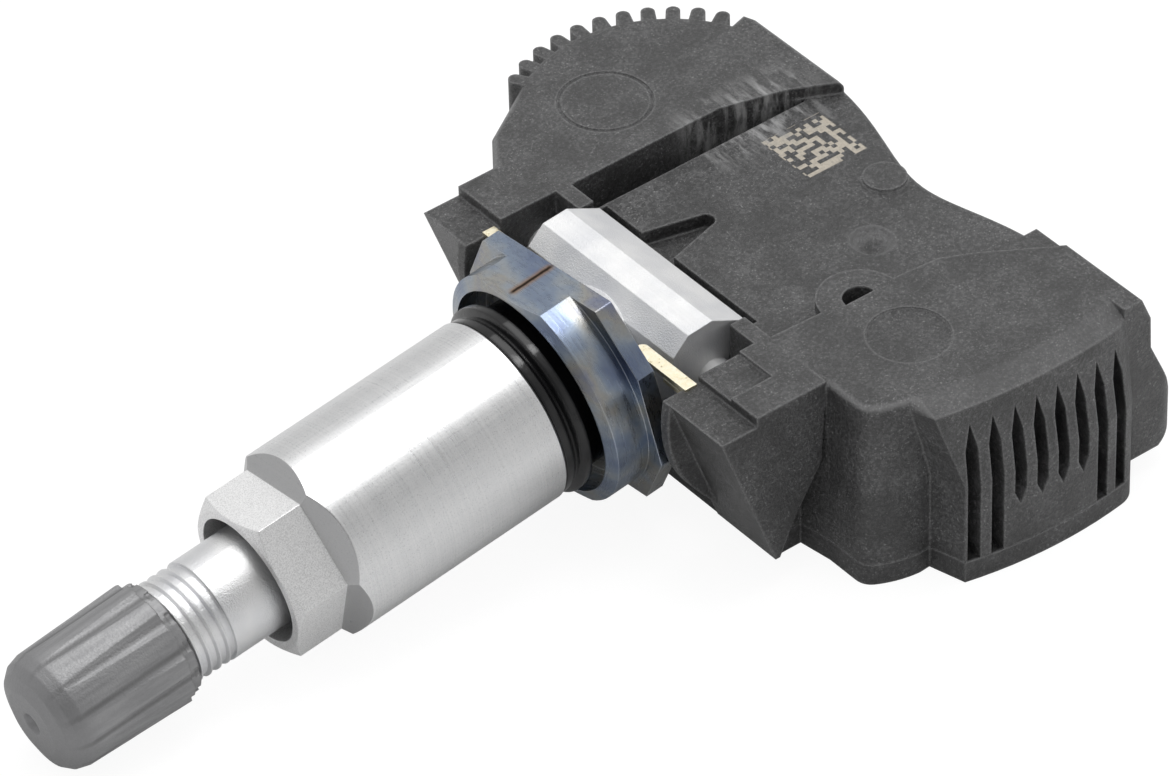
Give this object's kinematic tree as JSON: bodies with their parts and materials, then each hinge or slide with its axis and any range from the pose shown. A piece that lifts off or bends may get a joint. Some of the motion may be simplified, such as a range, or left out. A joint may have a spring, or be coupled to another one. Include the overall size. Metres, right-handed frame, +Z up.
{
  "type": "tyre pressure sensor",
  "caption": "Clamp-in tyre pressure sensor: black moulded housing with finned battery lobe and slotted wall, on a tilting aluminium valve stem with collar nut, grommet, washer and fluted cap.",
  "frame": {"origin": "on the housing's underside, straight below the pivot of the valve stem", "axes": "+X from the pivot towards the housing's back, -X towards the valve cap, +Y towards the battery lobe, +Z up out of the housing's top"},
  "size_m": [0.0808, 0.0515, 0.0202],
  "materials": {
    "cap_metal": "satin grey",
    "rubber": "matt",
    "brass": "turned",
    "spring_steel": "bright wire",
    "aluminium_stem": "bead-blasted and turned",
    "aluminium_nut": "brushed round",
    "grommet_rubber": "glossy",
    "plated_steel": "zinc plated, faint blue and straw tints",
    "gold_plate": "gold-coloured plate",
    "housing_plastic": "glass-filled, fine grain",
    "cover_plastic": "glass-filled, smooth",
    "board": "solder mask",
    "cell_steel": "nickel plated",
    "tab_steel": "bright",
    "chip_plastic": "moulded",
    "membrane": "matt white film",
    "ferrite": "sintered",
    "copper": "enamelled",
    "ceramic": "fired"
  },
  "bodies": {
    "stem": {"valve_stem": "aluminium_stem", "grommet": "grommet_rubber", "support_washer": "plated_steel", "valve_core_body": "brass", "valve_core_seal": "rubber", "valve_core_guide": "brass", "valve_core_spring": "spring_steel"},
    "core_pin": {"valve_core_pin": "brass", "valve_core_cup_seal": "rubber"},
    "seal": {"cap_seal": "rubber"},
    "cap": {"valve_cap": "cap_metal"},
    "nut": {"collar_nut": "aluminium_nut"},
    "housing": {"housing": "housing_plastic", "bottom_cover": "cover_plastic", "retaining_clips": "gold_plate", "circuit_board": "board", "battery_cell": "cell_steel", "battery_tab_positive": "tab_steel", "battery_tab_negative": "tab_steel", "pressure_sensor": "chip_plastic", "pressure_gasket": "rubber", "vent_membrane": "membrane", "control_chip": "chip_plastic", "crystal": "tab_steel", "lf_coil_core": "ferrite", "lf_coil_winding": "copper", "chip_capacitors": "ceramic", "antenna_loop": "copper"}
  },
  "joints": [
    {"name": "housing_pivot", "type": "hinge", "parent": "stem", "child": "housing", "pos_m": [0, 0, 0.0119], "axis": [0, 1, 0], "range_deg": [-10, 10]},
    {"name": "cap_travel", "type": "slide", "parent": "stem", "child": "seal", "axis": [-0.9903, 0, -0.1392], "range_m": [0, 0.01]},
    {"name": "cap_turn", "type": "hinge", "parent": "seal", "child": "cap", "pos_m": [-0.04991, 0, 0.00489], "axis": [-0.9903, 0, -0.1392], "range_deg": [0, 4600]},
    {"name": "nut_travel", "type": "slide", "parent": "stem", "child": "nut", "axis": [-0.9903, 0, -0.1392], "range_m": [0, 0.0062]},
    {"name": "core_pin_press", "type": "slide", "parent": "stem", "child": "core_pin", "axis": [0.9903, 0, 0.1392], "range_m": [0, 0.0015], "stiffness_N_per_m": 400, "springref_m": -0.002, "deforming": ["valve_core_spring"]}
  ],
  "couplings": [
    {"joint": "cap_turn", "follows": "cap_travel", "rad_per_m": 7913.3}
  ]
}
